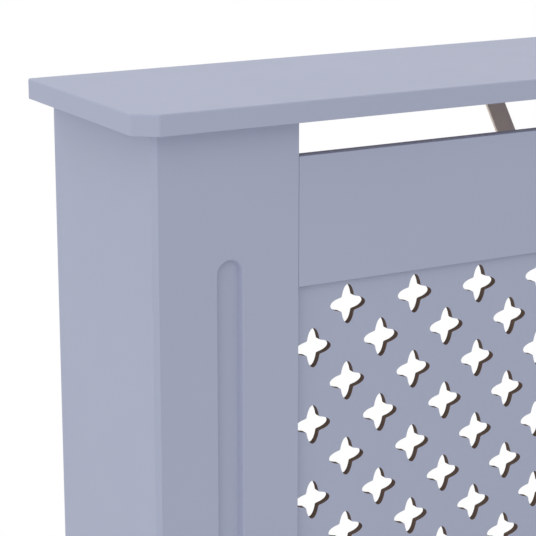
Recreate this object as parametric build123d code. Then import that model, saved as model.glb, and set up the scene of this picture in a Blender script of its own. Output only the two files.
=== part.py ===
from build123d import *

# Radiator cover cabinet, in millimetres. An MDF cover that stands on the floor over a radiator.
# +Z is up and the front faces -Y. The back, at +Y, is open and stands against the wall.
# The origin is on the floor, in the middle of the width and of the depth.

import os
from math import floor

# Overall size, over the top board
cover_width = 780.0
cover_depth = 190.0
cover_height = 815.0

# Top board
board_thickness = 15.4
board_overhang = 20.0  # past the body at the front and at both sides, flush at the back
board_clip_x = 16.0  # the clipped front corners, along the front
board_clip_y = 13.0  # and along the sides
board_clip_round = 3.0
board_top_round = 1.5
board_under_round = 0.4

# Legs: a side panel and a front stile, mitred together
leg_thickness = 15.0
stile_width = 116.5
leg_corner_chamfer = 3.5
sanded_edge = 0.5

# Round-ended flute in each front stile, in the middle of the stile's flat face
flute_width = 20.9
flute_depth = 5.0
flute_wall_taper = 20.0  # degrees, the lean of its walls from straight in
flute_rim_round = 0.4
flute_end_margin = 97.9  # from each end of the stile

# Front panel: a grille with a rail glued on its face at the top and at the bottom
rail_thickness = 5.0
grille_thickness = 5.3
upper_rail_height = 97.0
lower_rail_height = 97.0
top_air_gap = 28.2  # under the top board
foot_air_gap = 59.4  # over the floor
groove_depth = 8.0  # the grille slides down in a groove in each stile
groove_face_gap = 0.15
groove_end_gap = 0.3
rail_end_gap = 0.2

# Star holes: two crossed ellipses, on a chequered grid about the middle of the opening
star_length = 30.3
star_width = 11.7
star_inner_fillet = 1.3
star_step_x = 29.75
star_step_z = 29.93

# Glued blocks in the mitred corners
block_leg = 25.0
block_height = 60.0
block_end_margin = 50.0  # from each end of the leg

# Dowels and knock-down fittings between the top board and the legs
board_skin = 5.0  # wood left over every hole in the board's underside
dowel_radius = 4.0
dowel_in_leg = 20.0
lock_skin = 3.0  # wood left behind each cam lock
lock_radius = 7.5
lock_drop = 24.0  # from the leg's top to the lock's centre
lock_slot_length = 9.0  # the cross slot in its face
lock_slot_width = 1.2
bolt_radius = 3.0
bolt_neck_radius = 1.8
bolt_head_length = 3.0
side_lock_front_inset = 55.0  # from the stile's face
side_lock_back_inset = 30.0  # from the wall
stile_dowel_inset = 21.5  # from the stile's inner edge
wood_fit = 0.1  # gap round every dowel, bolt, lock and screw

# Centre stay: a flat steel strap, bent at both ends
stay_width = 18.0
stay_thickness = 2.2
stay_bend_radius = 3.2  # to the middle of the strap
stay_bend_drop = 35.7  # lower bend under the upper rail's lower edge
stay_lower_tab_rise = 42.0  # lower tab's end over that edge
stay_top_tab = 32.0
stay_back_margin = 4.0

# Wall brackets: a steel angle inside each side panel, at the back
bracket_leg = 40.0
bracket_height = 16.0
bracket_thickness = 2.0
bracket_bend_radius = 2.5  # to the middle of the strap
bracket_drop = 60.0  # from the leg's top to the bracket's middle
wall_hole_radius = 2.75
wall_hole_inset = 12.0  # from the bracket's end

# Pan head screws
screw_radius = 1.75
screw_head_radius = 3.6
screw_head_height = 2.2
screw_recess_length = 4.0  # the cross recess in its head
screw_recess_width = 0.9
screw_recess_depth = 1.4
screw_tip_length = 3.0
screw_skin = 2.5  # wood left in front of every screw's tip
screw_spacing = 17.0
tab_end_margin = 7.0  # from a tab's end to its first screw

# Places that follow from the sizes above
leg_height = cover_height - board_thickness
front_y = board_overhang - cover_depth / 2
back_y = cover_depth / 2
body_half_width = cover_width / 2 - board_overhang
opening_half_width = body_half_width - stile_width
rail_back_y = front_y + rail_thickness
grille_back_y = rail_back_y + grille_thickness
upper_rail_top = leg_height - top_air_gap
upper_rail_bottom = upper_rail_top - upper_rail_height
lower_rail_top = foot_air_gap + lower_rail_height
side_middle_x = body_half_width - leg_thickness / 2
stile_middle_y = front_y + leg_thickness / 2
flute_x = body_half_width - (leg_corner_chamfer + stile_width) / 2
board_hole_depth = board_thickness - board_skin
lock_height = leg_thickness - lock_skin
side_lock_ys = (front_y + side_lock_front_inset, back_y - side_lock_back_inset)
side_dowel_y = sum(side_lock_ys) / 2
stile_dowel_x = opening_half_width + stile_dowel_inset
stay_tab_end_y = back_y - stay_back_margin
bracket_z = leg_height - bracket_drop
bracket_head_x = body_half_width - leg_thickness - bracket_thickness
wall_hole_x = body_half_width - leg_thickness - bracket_leg + wall_hole_inset
sides = (-1, 1)  # left, right

# Screws: the place under each head, on the steel, and the way that the tip points
board_screw_ys = [stay_tab_end_y - tab_end_margin - i * screw_spacing for i in (0, 1)]
rail_screw_top = upper_rail_bottom + stay_lower_tab_rise - tab_end_margin
rail_screw_zs = [rail_screw_top - i * screw_spacing for i in (0, 1)]
board_screws = [((0, y, leg_height - stay_thickness), (0, 0, 1)) for y in board_screw_ys]
rail_screws = [((0, grille_back_y + stay_thickness, z), (0, -1, 0)) for z in rail_screw_zs]
board_screw_length = stay_thickness + board_thickness - screw_skin
rail_screw_length = stay_thickness + grille_thickness + rail_thickness - screw_skin
bracket_screw_ys = [back_y - bracket_leg + tab_end_margin + i * screw_spacing for i in (0, 1)]
bracket_screw_length = bracket_thickness + leg_thickness - screw_skin


def bracket_screws(side):
    return [((side * bracket_head_x, y, bracket_z), (side, 0, 0)) for y in bracket_screw_ys]


# Fittings on top of the legs: x, y, and for a lock also the way that it faces
def side_locks(side):
    return [(side * side_middle_x, y, (-side, 0, 0)) for y in side_lock_ys]


def stile_locks(side):
    return [(side * flute_x, stile_middle_y, (0, 1, 0))]


def side_dowels(side):
    return [(side * side_middle_x, side_dowel_y)]


def stile_dowels(side):
    return [(side * stile_dowel_x, stile_middle_y)]


all_locks = [lock for side in sides for lock in side_locks(side) + stile_locks(side)]
all_dowels = [dowel for side in sides for dowel in side_dowels(side) + stile_dowels(side)]


def stand(shape, place, direction):
    """Move a shape built up +Z from the origin so that it rises from place along direction."""
    return Plane(origin=place, z_dir=direction) * shape


def post(points, bottom, height):
    """A prism that stands on an outline seen from above."""
    return extrude(Plane.XY.offset(bottom) * make_face(Polyline(*points, close=True)), height)


def slab(x_range, y_range, z_range):
    """A plain sheet or cut between three pairs of coordinates."""
    low, high = zip(x_range, y_range, z_range)
    size = [b - a for a, b in zip(low, high)]
    return Pos(*low) * Box(*size, align=(Align.MIN, Align.MIN, Align.MIN))


def crossed_slots(length, width, z_range):
    """A cut for a screwdriver: two slots that cross on the Z axis."""
    long, short = (-length / 2, length / 2), (-width / 2, width / 2)
    return slab(long, short, z_range) + slab(short, long, z_range)


def strap(outline_plane, corners, thickness, radius, width):
    """Flat steel bent along corners on outline_plane, as wide to each side of that plane."""
    bend_line = FilletPolyline(*corners, radius=radius)
    return extrude(outline_plane * trace(bend_line, thickness), width / 2, both=True)


def hole(place, direction, radius, depth):
    """A round cut from place along direction."""
    return stand(Cylinder(radius, depth, align=(Align.CENTER, Align.CENTER, Align.MIN)), place, direction)


def screw_holes(screws, length):
    """Holes in wood for a group of screws."""
    return [hole(*screw, screw_radius + wood_fit, length + wood_fit) for screw in screws]


def steel_holes(screws, thickness):
    """Looser holes for the same screws in the steel under their heads."""
    return [hole(*screw, screw_radius + 2 * wood_fit, thickness) for screw in screws]


def pan_screw(length):
    """A pan head screw that points up +Z, with the underside of its head at the origin."""
    shank_end = length - screw_tip_length
    profile = Polyline(
        (0, -screw_head_height),
        (screw_head_radius * 0.6, -screw_head_height),
        (screw_head_radius, -screw_head_height / 2),
        (screw_head_radius, 0),
        (screw_radius, 0),
        (screw_radius, shank_end),
        (0, length),
        close=True,
    )
    screw = revolve(Plane.XZ * make_face(profile), Axis.Z)
    recess_zs = (-screw_head_height, screw_recess_depth - screw_head_height)
    return screw - crossed_slots(screw_recess_length, screw_recess_width, recess_zs)


def top_board():
    side_x, side_y = cover_width / 2, board_clip_y - cover_depth / 2
    front_x, front_edge_y = side_x - board_clip_x, -cover_depth / 2
    left = [(-side_x, back_y), (-side_x, side_y), (-front_x, front_edge_y)]
    board = post(left + [(-x, y) for x, y in reversed(left)], leg_height, board_thickness)
    board = fillet(board.edges().filter_by(Axis.Z).sort_by(Axis.Y)[:4], board_clip_round)
    # The edges along the wall stay nearly sharp, so only the front and the sides are rounded.
    top_edges = board.faces().sort_by(Axis.Z)[-1].edges().sort_by(Axis.Y)[:-1]
    board = fillet(top_edges, board_top_round)
    under_edges = board.faces().sort_by(Axis.Z)[0].edges().sort_by(Axis.Y)[:-1]
    board = fillet(under_edges, board_under_round)
    for x, y in all_dowels:
        board -= hole((x, y, leg_height), (0, 0, 1), dowel_radius + wood_fit, board_hole_depth)
    for x, y, _ in all_locks:
        board -= hole((x, y, leg_height), (0, 0, 1), bolt_radius + wood_fit, board_hole_depth)
    return board - screw_holes(board_screws, board_screw_length)


def lock_back(lock):
    """The middle of a lock's back, inside the leg: the leg's mid-plane runs through the bolt."""
    x, y, facing = lock
    return Vector(x, y, leg_height - lock_drop) - Vector(*facing) * (leg_thickness / 2 - lock_skin)


def cut_leg_top(leg, dowels, locks):
    """Cut the dowel holes, lock bores and bolt holes in the top of a side panel or a stile."""
    for x, y in dowels:
        leg -= hole((x, y, leg_height), (0, 0, -1), dowel_radius + wood_fit, dowel_in_leg + wood_fit)
    for lock in locks:
        x, y, facing = lock
        leg -= hole(lock_back(lock), facing, lock_radius + wood_fit, leg_thickness)
        leg -= hole((x, y, leg_height), (0, 0, -1), bolt_radius + wood_fit, lock_drop)
    return leg


def side_panel(side):
    outer, inner, corner = body_half_width, body_half_width - leg_thickness, leg_corner_chamfer
    points = [
        (side * outer, front_y + corner),
        (side * (outer - corner / 2), front_y + corner / 2),
        (side * inner, front_y + leg_thickness),
        (side * inner, back_y),
        (side * outer, back_y),
    ]
    panel = cut_leg_top(post(points, 0, leg_height), side_dowels(side), side_locks(side))
    return panel - screw_holes(bracket_screws(side), bracket_screw_length)


def front_stile(side):
    outer, corner = body_half_width, leg_corner_chamfer
    points = [
        (side * (outer - corner), front_y),
        (side * opening_half_width, front_y),
        (side * opening_half_width, front_y + leg_thickness),
        (side * (outer - leg_thickness), front_y + leg_thickness),
        (side * (outer - corner / 2), front_y + corner / 2),
    ]
    stile = post(points, 0, leg_height)
    inner_edges = stile.edges().filter_by(Axis.Z).filter_by_position(Axis.Y, front_y, front_y)
    stile = fillet(inner_edges.sort_by(lambda edge: abs(edge.center().X))[0], sanded_edge)
    stile -= flute(side)
    groove_xs = sorted((side * opening_half_width, side * (opening_half_width + groove_depth)))
    groove_ys = (rail_back_y - groove_face_gap, grille_back_y + groove_face_gap)
    stile -= slab(groove_xs, groove_ys, (foot_air_gap, leg_height))
    return cut_leg_top(stile, stile_dowels(side), stile_locks(side))


def flute(side):
    """The cut for a stile's flute, which narrows inwards and has a flared rim."""
    length = leg_height - 2 * flute_end_margin
    front = Plane(origin=(side * flute_x, front_y, leg_height / 2), x_dir=(1, 0, 0), z_dir=(0, 1, 0))
    rim = 2 * flute_rim_round
    outline = front * SlotOverall(length, flute_width, rotation=90)
    flare = front * SlotOverall(length + rim, flute_width + rim, rotation=90)
    return extrude(outline, flute_depth, taper=flute_wall_taper) + extrude(flare, rim, taper=45)


def rail(bottom, height):
    half_length = opening_half_width - rail_end_gap
    sheet = slab((-half_length, half_length), (front_y, rail_back_y), (bottom, bottom + height))
    front_edges = sheet.faces().sort_by(Axis.Y)[0].edges()
    return fillet(front_edges, sanded_edge)


def upper_rail():
    return rail(upper_rail_bottom, upper_rail_height) - screw_holes(rail_screws, rail_screw_length)


def lower_rail():
    return rail(foot_air_gap, lower_rail_height)


def star():
    """One star hole's outline about the origin."""
    long, short = star_length / 2, star_width / 2
    cross = Ellipse(long, short) + Ellipse(short, long)
    inner_corners = cross.vertices().filter_by(lambda v: abs(abs(v.X) - abs(v.Y)) < 0.01)
    return fillet(inner_corners, star_inner_fillet)


def star_centres():
    """Star centres on the grille: every second place of a grid about the opening's middle."""
    opening_height = upper_rail_bottom - lower_rail_top
    columns = floor((opening_half_width - star_length / 2) / star_step_x)
    rows = floor((opening_height - star_length) / star_step_z)
    top_row = (upper_rail_bottom + lower_rail_top + rows * star_step_z) / 2
    return [
        (column * star_step_x, top_row - row * star_step_z)
        for column in range(-columns, columns + 1)
        for row in range(rows + 1)
        if (column + row) % 2 == 1
    ]


def grille_panel():
    half_width = opening_half_width + groove_depth - groove_end_gap
    middle_z = (upper_rail_top + foot_air_gap) / 2
    sheet = Rectangle(2 * half_width, upper_rail_top - foot_air_gap)
    star_wire = star().faces()[0].outer_wire()
    holes = [Pos(x, z - middle_z) * star_wire for x, z in star_centres()]
    face = Face(sheet.faces()[0].outer_wire(), holes)
    front = Plane(origin=(0, rail_back_y, middle_z), x_dir=(1, 0, 0), z_dir=(0, -1, 0))
    return extrude(front * face, -grille_thickness) - screw_holes(rail_screws, rail_screw_length)


def centre_stay():
    lower_y = grille_back_y + stay_thickness / 2
    upper_z = leg_height - stay_thickness / 2
    corners = [
        (lower_y, upper_rail_bottom + stay_lower_tab_rise),
        (lower_y, upper_rail_bottom - stay_bend_drop),
        (stay_tab_end_y - stay_top_tab, upper_z),
        (stay_tab_end_y, upper_z),
    ]
    stay = strap(Plane.YZ, corners, stay_thickness, stay_bend_radius, stay_width)
    return stay - steel_holes(board_screws + rail_screws, stay_thickness)


def stay_screws():
    upper = [stand(pan_screw(board_screw_length), *screw) for screw in board_screws]
    lower = [stand(pan_screw(rail_screw_length), *screw) for screw in rail_screws]
    return upper + lower


def corner_blocks(side):
    inner_x = side * (body_half_width - leg_thickness)
    inner_y = front_y + leg_thickness
    points = [(inner_x, inner_y), (inner_x - side * block_leg, inner_y), (inner_x, inner_y + block_leg)]
    top_block = leg_height - block_end_margin - block_height
    bottoms = (block_end_margin, (block_end_margin + top_block) / 2, top_block)
    return [post(points, bottom, block_height) for bottom in bottoms]


def board_dowels():
    length = board_hole_depth + dowel_in_leg - 2 * wood_fit
    peg = Cylinder(dowel_radius, length, align=(Align.CENTER, Align.CENTER, Align.MIN))
    peg = chamfer(peg.edges().filter_by(GeomType.CIRCLE), dowel_radius / 4)
    return [Pos(x, y, leg_height - dowel_in_leg + wood_fit) * peg for x, y in all_dowels]


def cam_bolts():
    """Bolts screwed up into the board, with a necked head that hangs down into each lock."""
    head_end = -lock_drop - bolt_head_length / 2
    neck_start = -lock_drop + lock_radius + wood_fit
    profile = Polyline(
        (0, head_end),
        (bolt_radius, head_end),
        (bolt_radius, head_end + bolt_head_length),
        (bolt_neck_radius, head_end + bolt_head_length),
        (bolt_neck_radius, neck_start),
        (bolt_radius, neck_start),
        (bolt_radius, board_hole_depth - wood_fit),
        (0, board_hole_depth - wood_fit),
        close=True,
    )
    bolt = revolve(Plane.XZ * make_face(profile), Axis.Z)
    return [Pos(x, y, leg_height) * bolt for x, y, _ in all_locks]


def cam_locks():
    """Round locks: the bolt's head lies in a pocket behind two lips, under a cross-slotted face."""
    lock = Cylinder(lock_radius, lock_height, align=(Align.CENTER, Align.CENTER, Align.MIN))
    bolt_z = leg_thickness / 2 - lock_skin  # the bolt's axis over the lock's back
    pocket = bolt_radius + wood_fit
    lip = bolt_neck_radius + wood_fit
    head = bolt_head_length / 2 + wood_fit
    lock -= slab((-pocket, pocket), (-head, head), (bolt_z - pocket, bolt_z + pocket))
    lock -= slab((-lip, lip), (0, lock_radius), (bolt_z - lip, bolt_z + lip))
    slot_zs = ((bolt_z + pocket + lock_height) / 2, lock_height)
    lock -= crossed_slots(lock_slot_length, lock_slot_width, slot_zs)
    across = {place: Vector(0, 0, 1).cross(Vector(*place[2])) for place in all_locks}
    return [Plane(lock_back(place), across[place], place[2]) * lock for place in all_locks]


def wall_bracket(side):
    middle = bracket_thickness / 2
    inner = body_half_width - leg_thickness
    corners = [
        (side * (inner - middle), back_y - bracket_leg),
        (side * (inner - middle), back_y - middle),
        (side * (inner - bracket_leg), back_y - middle),
    ]
    level = Plane.XY.offset(bracket_z)
    bracket = strap(level, corners, bracket_thickness, bracket_bend_radius, bracket_height)
    bracket -= steel_holes(bracket_screws(side), bracket_thickness)
    wall_hole = (side * wall_hole_x, back_y - bracket_thickness, bracket_z)
    return bracket - hole(wall_hole, (0, 1, 0), wall_hole_radius, bracket_thickness)


def wall_bracket_screws():
    screw = pan_screw(bracket_screw_length)
    return [stand(screw, *place) for side in sides for place in bracket_screws(side)]


nodes = {
    "top_board": top_board(),
    "left_side_panel": side_panel(-1),
    "right_side_panel": side_panel(1),
    "left_front_stile": front_stile(-1),
    "right_front_stile": front_stile(1),
    "upper_rail": upper_rail(),
    "lower_rail": lower_rail(),
    "grille_panel": grille_panel(),
    "centre_stay": centre_stay(),
    "stay_screws": stay_screws(),
    "left_corner_blocks": corner_blocks(-1),
    "right_corner_blocks": corner_blocks(1),
    "board_dowels": board_dowels(),
    "cam_bolts": cam_bolts(),
    "cam_locks": cam_locks(),
    "left_wall_bracket": wall_bracket(-1),
    "right_wall_bracket": wall_bracket(1),
    "bracket_screws": wall_bracket_screws(),
}

os.makedirs("parts", exist_ok=True)
for name, shape in nodes.items():
    pieces = shape if isinstance(shape, list) else [shape]
    solids = [solid for piece in pieces for solid in piece.solids()]
    export_step(Compound(children=solids), f"parts/{name}.step")
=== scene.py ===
from math import radians

import bmesh
import bpy
from mathutils import Euler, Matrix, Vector


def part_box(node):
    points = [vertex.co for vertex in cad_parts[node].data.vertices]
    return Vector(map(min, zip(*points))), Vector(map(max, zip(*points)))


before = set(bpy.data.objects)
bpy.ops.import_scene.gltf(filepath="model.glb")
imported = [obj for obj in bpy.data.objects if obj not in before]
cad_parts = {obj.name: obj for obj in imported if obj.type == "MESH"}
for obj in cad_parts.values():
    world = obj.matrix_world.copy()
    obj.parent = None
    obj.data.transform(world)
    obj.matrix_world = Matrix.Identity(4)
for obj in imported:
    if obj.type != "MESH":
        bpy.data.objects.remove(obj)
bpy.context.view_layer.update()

# A painted MDF radiator cover: satin blue-grey boards, a grille of sawn star holes in front of an
# open back, and a plain steel stay under the top board. Metres, +Z up, the front faces -Y.


def srgb(code):
    """The linear colour, with alpha, of an sRGB hex code."""
    channels = [int(code[i : i + 2], 16) / 255 for i in (1, 3, 5)]
    return [c / 12.92 if c <= 0.04045 else ((c + 0.055) / 1.055) ** 2.4 for c in channels] + [1.0]


def across(millimetres):
    """The scale of a pattern whose features are so many millimetres across."""
    return 1000 / millimetres


def mm(length):
    """A length in millimetres as metres."""
    return length / 1000


def add(tree, kind, inputs, output=None, **settings):
    """Add a node and return one of its outputs. Inputs are values or other nodes' outputs."""
    node = tree.nodes.new("ShaderNode" + kind)
    for name, value in settings.items():
        setattr(node, name, value)
    sockets = {socket.identifier: socket for socket in node.inputs}
    for name, value in inputs.items():
        if isinstance(value, bpy.types.NodeSocket):
            tree.links.new(value, sockets[name])
        else:
            sockets[name].default_value = value
    return next((socket for socket in node.outputs if output in (None, socket.identifier)), None)


# Finishes. Each function builds one on a node tree and returns its shader.


def satin_paint(tree):
    """MDF sanded, primed and sprayed with satin acrylic: an even colour with a soft sheen."""
    place = add(tree, "TexCoord", {}, "Object")
    # A hand-wide drift in the coat, too faint to see as a pattern, keeps the flats alive.
    drift = add(tree, "TexNoise", {"Vector": place, "Scale": across(160), "Detail": 2.0})
    colour = {"Factor_Float": drift, "A_Color": srgb("#A8AEC5"), "B_Color": srgb("#ACB2C9")}
    sheen = add(tree, "TexNoise", {"Vector": place, "Scale": across(25), "Detail": 2.0})
    roughness = {"Value": sheen, "To Min": 0.48, "To Max": 0.56}
    # Sprayed paint dries in a faint orange peel, about 1.5 mm from crest to crest.
    peel = add(tree, "TexNoise", {"Vector": place, "Scale": across(1.5), "Detail": 1.0})
    coat = {
        "Base Color": add(tree, "Mix", colour, "Result_Color", data_type="RGBA"),
        "Roughness": add(tree, "MapRange", roughness),
        "Normal": add(tree, "Bump", {"Height": peel, "Distance": mm(0.012)}),
        "IOR": 1.5,
    }
    return add(tree, "BsdfPrincipled", coat)


def bare_mdf(tree):
    """Raw fibreboard as it comes from the saw: matt brown, with fibres and darker flecks."""
    place = add(tree, "TexCoord", {}, "Object")
    tangle = {"Vector": place, "Scale": across(0.9), "Detail": 4.0, "Roughness": 0.7}
    fibres = add(tree, "TexNoise", tangle)
    mottle = {"Factor_Float": fibres, "A_Color": srgb("#9C7B5A"), "B_Color": srgb("#C4A37C")}
    clumps = add(tree, "TexNoise", {"Vector": place, "Scale": across(6), "Detail": 2.0})
    flecks = {
        "Factor_Float": add(tree, "MapRange", {"Value": clumps, "From Min": 0.5, "To Max": 0.5}),
        "A_Color": add(tree, "Mix", mottle, "Result_Color", data_type="RGBA"),
        "B_Color": srgb("#8A6A4B"),
    }
    board = {
        "Base Color": add(tree, "Mix", flecks, "Result_Color", data_type="RGBA"),
        "Roughness": 0.85,
        "Normal": add(tree, "Bump", {"Height": fibres, "Distance": mm(0.05)}),
        "IOR": 1.45,
    }
    return add(tree, "BsdfPrincipled", board)


def sawn_mdf(tree):
    """The walls of sawn holes: raw fibreboard browned by the cutter, with fine chatter marks."""
    place = add(tree, "TexCoord", {}, "Object")
    scorch = add(tree, "TexNoise", {"Vector": place, "Scale": across(2), "Detail": 3.0})
    browns = {"Factor_Float": scorch, "A_Color": srgb("#54443B"), "B_Color": srgb("#6B564A")}
    wall = {
        "Base Color": add(tree, "Mix", browns, "Result_Color", data_type="RGBA"),
        "Roughness": 0.9,
        "Normal": add(tree, "Bump", {"Height": scorch, "Distance": mm(0.05)}),
        "IOR": 1.45,
    }
    return add(tree, "BsdfPrincipled", wall)


def thin_board(tree):
    """Thin sprayed board: its sawn top and bottom edges take in some of the dark cut-wall brown,
    partly as board showing through a thin coat and partly as painted shade that darkens the rail's
    top edge in the gap under the top board.
    """
    facing = add(tree, "SeparateXYZ", {"Vector": add(tree, "TexCoord", {}, "Normal")}, "Z")
    upright = add(tree, "Math", {"Value": facing}, operation="ABSOLUTE")
    # Painted shade in part: faces that point up or down mix up to 30% of the dark cut-wall brown
    # into the paint.
    thin_coat_and_shade = {"Value": upright, "From Min": 0.6, "From Max": 0.9, "To Max": 0.3}
    board = {
        "Fac": add(tree, "MapRange", thin_coat_and_shade),
        "Shader": satin_paint(tree),
        "Shader_001": sawn_mdf(tree),
    }
    return add(tree, "MixShader", board)


def pierced_board(tree):
    """Grille board: paint on its face and rims, browned cuts in its holes, raw board behind."""
    facing = add(tree, "SeparateXYZ", {"Vector": add(tree, "TexCoord", {}, "Normal")}, "Y")
    behind = add(tree, "MapRange", {"Value": facing, "From Min": 0.6, "From Max": 0.9})
    before = add(tree, "MapRange", {"Value": facing, "From Min": -0.6, "From Max": -0.9})
    # The spray also reaches the board's top and bottom edges, which take half a coat over the dark
    # cut-wall brown: partly a thin coat on bare board, partly painted shade that darkens the top
    # edge in the gap under the top board.
    # The mask keeps to the board's last millimetre or so, clear of the holes.
    low, high = (corner.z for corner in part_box("grille_panel"))
    middle, half = (low + high) / 2, (high - low) / 2
    height = add(tree, "SeparateXYZ", {"Vector": add(tree, "TexCoord", {}, "Object")}, "Z")
    off_middle = add(tree, "Math", {"Value": height, "Value_001": middle}, operation="SUBTRACT")
    reach = add(tree, "Math", {"Value": off_middle}, operation="ABSOLUTE")
    # Painted shade in part: these edges carry half the paint over the dark cut-wall brown.
    rim_coat_and_shade = {"Value": reach, "From Min": half - mm(1.5), "From Max": half - mm(0.5), "To Max": 0.5}
    paint = {"Value": before, "Value_001": add(tree, "MapRange", rim_coat_and_shade)}
    board = {"Fac": behind, "Shader": sawn_mdf(tree), "Shader_001": bare_mdf(tree)}
    coated = {
        "Fac": add(tree, "Math", paint, operation="MAXIMUM"),
        "Shader": add(tree, "MixShader", board),
        "Shader_001": satin_paint(tree),
    }
    return add(tree, "MixShader", coated)


def rolled_steel(tree):
    """Cold rolled strap, bright and not plated: pale warm grey, drawn out in faint lines."""
    place = add(tree, "TexCoord", {}, "Object")
    along = add(tree, "Mapping", {"Vector": place, "Scale": (1.0, 0.08, 0.08)})
    lines = add(tree, "TexNoise", {"Vector": along, "Scale": across(0.6), "Detail": 3.0})
    greys = {"Factor_Float": lines, "A_Color": srgb("#E2D7CC"), "B_Color": srgb("#F0E5DA")}
    strap = {
        "Base Color": add(tree, "Mix", greys, "Result_Color", data_type="RGBA"),
        "Roughness": add(tree, "MapRange", {"Value": lines, "To Min": 0.6, "To Max": 0.7}),
        "Metallic": 1.0,
        "Normal": add(tree, "Bump", {"Height": lines, "Distance": mm(0.01)}),
    }
    return add(tree, "BsdfPrincipled", strap)


def zinc_plate(tree):
    """Bright zinc plating on screws and small brackets: bluish silver with a cloudy bloom."""
    place = add(tree, "TexCoord", {}, "Object")
    bloom = add(tree, "TexNoise", {"Vector": place, "Scale": across(3), "Detail": 3.0})
    silvers = {"Factor_Float": bloom, "A_Color": srgb("#9BA1A8"), "B_Color": srgb("#BCC1C6")}
    plate = {
        "Base Color": add(tree, "Mix", silvers, "Result_Color", data_type="RGBA"),
        "Roughness": add(tree, "MapRange", {"Value": bloom, "To Min": 0.26, "To Max": 0.4}),
        "Metallic": 1.0,
    }
    return add(tree, "BsdfPrincipled", plate)


def die_cast_zinc(tree):
    """Cam locks: dull grey castings with a fine pebbled skin."""
    place = add(tree, "TexCoord", {}, "Object")
    pebbles = add(tree, "TexNoise", {"Vector": place, "Scale": across(0.7), "Detail": 3.0})
    greys = {"Factor_Float": pebbles, "A_Color": srgb("#8B8E92"), "B_Color": srgb("#A3A6AA")}
    casting = {
        "Base Color": add(tree, "Mix", greys, "Result_Color", data_type="RGBA"),
        "Roughness": 0.5,
        "Metallic": 1.0,
        "Normal": add(tree, "Bump", {"Height": pebbles, "Distance": mm(0.03)}),
    }
    return add(tree, "BsdfPrincipled", casting)


def turned_beech(tree):
    """Beech pegs: pale, with short darker flecks along the grain, which stands upright."""
    place = add(tree, "TexCoord", {}, "Object")
    along = add(tree, "Mapping", {"Vector": place, "Scale": (1.0, 1.0, 0.12)})
    flecks = add(tree, "TexNoise", {"Vector": along, "Scale": across(0.8), "Detail": 4.0})
    woods = {"Factor_Float": flecks, "A_Color": srgb("#B98F62"), "B_Color": srgb("#DDBD92")}
    peg = {
        "Base Color": add(tree, "Mix", woods, "Result_Color", data_type="RGBA"),
        "Roughness": 0.7,
        "Normal": add(tree, "Bump", {"Height": flecks, "Distance": mm(0.03)}),
    }
    return add(tree, "BsdfPrincipled", peg)


def backdrop_rays(tree):
    """1 for a ray that shows the background: seen straight, in a gloss or through glass."""
    kinds = ("Camera", "Glossy", "Transmission")
    seen, glossed, through = (add(tree, "LightPath", {}, f"Is {kind} Ray") for kind in kinds)
    either = add(tree, "Math", {"Value": seen, "Value_001": glossed}, operation="MAXIMUM")
    return add(tree, "Math", {"Value": either, "Value_001": through}, operation="MAXIMUM")


def studio_floor(tree):
    """Pale matt floor. It keeps the cabinet's shadow and fades to plain white further out."""
    place = add(tree, "TexCoord", {}, "Object")
    distance = add(tree, "VectorMath", {"Vector": place}, "Value", operation="LENGTH")
    further = add(tree, "MapRange", {"Value": distance, "From Min": 0.3, "From Max": 0.75})
    shown = {"Value": further, "Value_001": backdrop_rays(tree)}
    white = add(tree, "Math", shown, operation="MULTIPLY")
    matt = add(tree, "BsdfDiffuse", {"Color": srgb("#F2F2F2")})
    plain = add(tree, "Emission", {"Color": srgb("#FFFFFF"), "Strength": 1.0})
    return add(tree, "MixShader", {"Fac": white, "Shader": matt, "Shader_001": plain})


def material(finish):
    """A material that holds one finish and is named for it."""
    made = bpy.data.materials.new(finish.__name__)
    made.use_nodes = True
    made.node_tree.nodes.clear()
    add(made.node_tree, "OutputMaterial", {"Surface": finish(made.node_tree)})
    return made


def dress(finish, *nodes):
    """Give the cabinet's own pieces a finish, with their rounded edges shaded smooth."""
    made = material(finish)
    for name in nodes:
        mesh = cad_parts[name].data
        mesh.materials.clear()
        mesh.materials.append(made)
        mesh.shade_smooth()
        mesh.set_sharp_from_angle(angle=radians(25))


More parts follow.
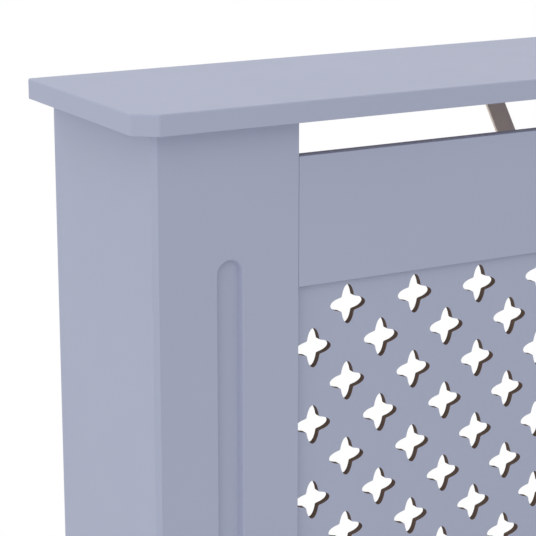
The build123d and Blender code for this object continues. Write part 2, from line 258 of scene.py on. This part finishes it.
dress(
    satin_paint,
    "top_board",
    "left_side_panel",
    "right_side_panel",
    "left_front_stile",
    "right_front_stile",
)
dress(thin_board, "upper_rail", "lower_rail")
dress(pierced_board, "grille_panel")
dress(bare_mdf, "left_corner_blocks", "right_corner_blocks")
dress(rolled_steel, "centre_stay")
dress(
    zinc_plate,
    "stay_screws",
    "cam_bolts",
    "left_wall_bracket",
    "right_wall_bracket",
    "bracket_screws",
)
dress(die_cast_zinc, "cam_locks")
dress(turned_beech, "board_dowels")


# Studio


def place_in_scene(name, data):
    made = bpy.data.objects.new(name, data)
    bpy.context.scene.collection.objects.link(made)
    return made


def floor(radius, sides=96):
    disc = bmesh.new()
    bmesh.ops.create_circle(disc, cap_ends=True, segments=sides, radius=radius)
    mesh = bpy.data.meshes.new("floor")
    disc.to_mesh(mesh)
    disc.free()
    mesh.materials.append(material(studio_floor))
    place_in_scene("floor", mesh)


def softbox(name, place, aim, size, power):
    """A large square lamp at place that faces aim."""
    lamp = bpy.data.lights.new(name, "AREA")
    lamp.size, lamp.energy = size, power
    box = place_in_scene(name, lamp)
    box.location = place
    box.rotation_euler = (Vector(aim) - Vector(place)).to_track_quat("-Z", "Y").to_euler()
    box.visible_camera = False


def surround(strength):
    """Even light from all round, seen as plain white behind the cabinet and in its gloss."""
    world = bpy.data.worlds.new("surround")
    bpy.context.scene.world = world
    world.use_nodes = True
    tree = world.node_tree
    tree.nodes.clear()
    level = add(tree, "MapRange", {"Value": backdrop_rays(tree), "To Min": strength, "To Max": 1.0})
    light = add(tree, "Background", {"Color": srgb("#FFFFFF"), "Strength": level})
    add(tree, "OutputWorld", {"Surface": light})


def camera(place, azimuth, pitch, lens):
    """A camera without roll, turned from +Y towards +X by azimuth and down by pitch."""
    data = bpy.data.cameras.new("camera")
    data.sensor_width, data.lens = 36.0, lens
    view = place_in_scene("camera", data)
    view.location = place
    view.rotation_euler = Euler((radians(90 - pitch), 0.0, radians(-azimuth)))
    bpy.context.scene.camera = view


floor(radius=12.0)
surround(strength=0.65)
middle = (-0.2, -0.05, 0.6)
softbox("key", (-1.85, -2.4, 2.6), middle, size=2.0, power=12.5)
softbox("fill", (-3.5, -1.25, 0.9), middle, size=2.0, power=14.0)
softbox("overhead", (-1.15, 1.1, 3.75), middle, size=2.0, power=24.0)
camera(place=(-0.952, -1.271, 1.044), azimuth=29.36, pitch=14.38, lens=132.2)
bpy.context.scene.view_settings.view_transform = "Standard"
